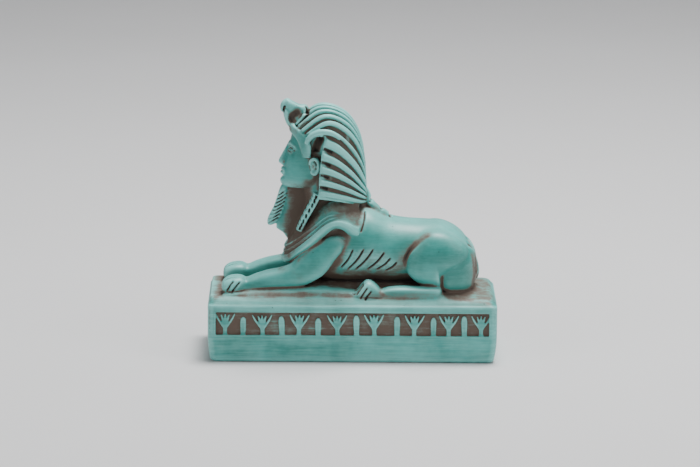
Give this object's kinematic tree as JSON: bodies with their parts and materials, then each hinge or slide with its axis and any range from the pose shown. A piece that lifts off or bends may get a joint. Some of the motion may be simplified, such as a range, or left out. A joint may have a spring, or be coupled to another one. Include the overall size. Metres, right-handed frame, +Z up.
{
  "type": "sphinx statue",
  "caption": "Small sphinx lying on an oblong plinth with a lotus frieze, cast in one in turquoise stone paste with a brown wash; stands on a shelf or desk as an ornament.",
  "frame": {"origin": "centre of the plinth's underside, at the height of the surface it stands on", "axes": "-X the way the sphinx looks, +Y its right-hand side, where the tail lies, +Z up"},
  "size_m": [0.1208, 0.046, 0.108],
  "materials": {
    "stone": "turquoise stone paste with a satin sheen, a brown wash in every recess and pale worn edges"
  },
  "bodies": {
    "root": {"sphinx_statue": "stone"}
  },
  "joints": []
}
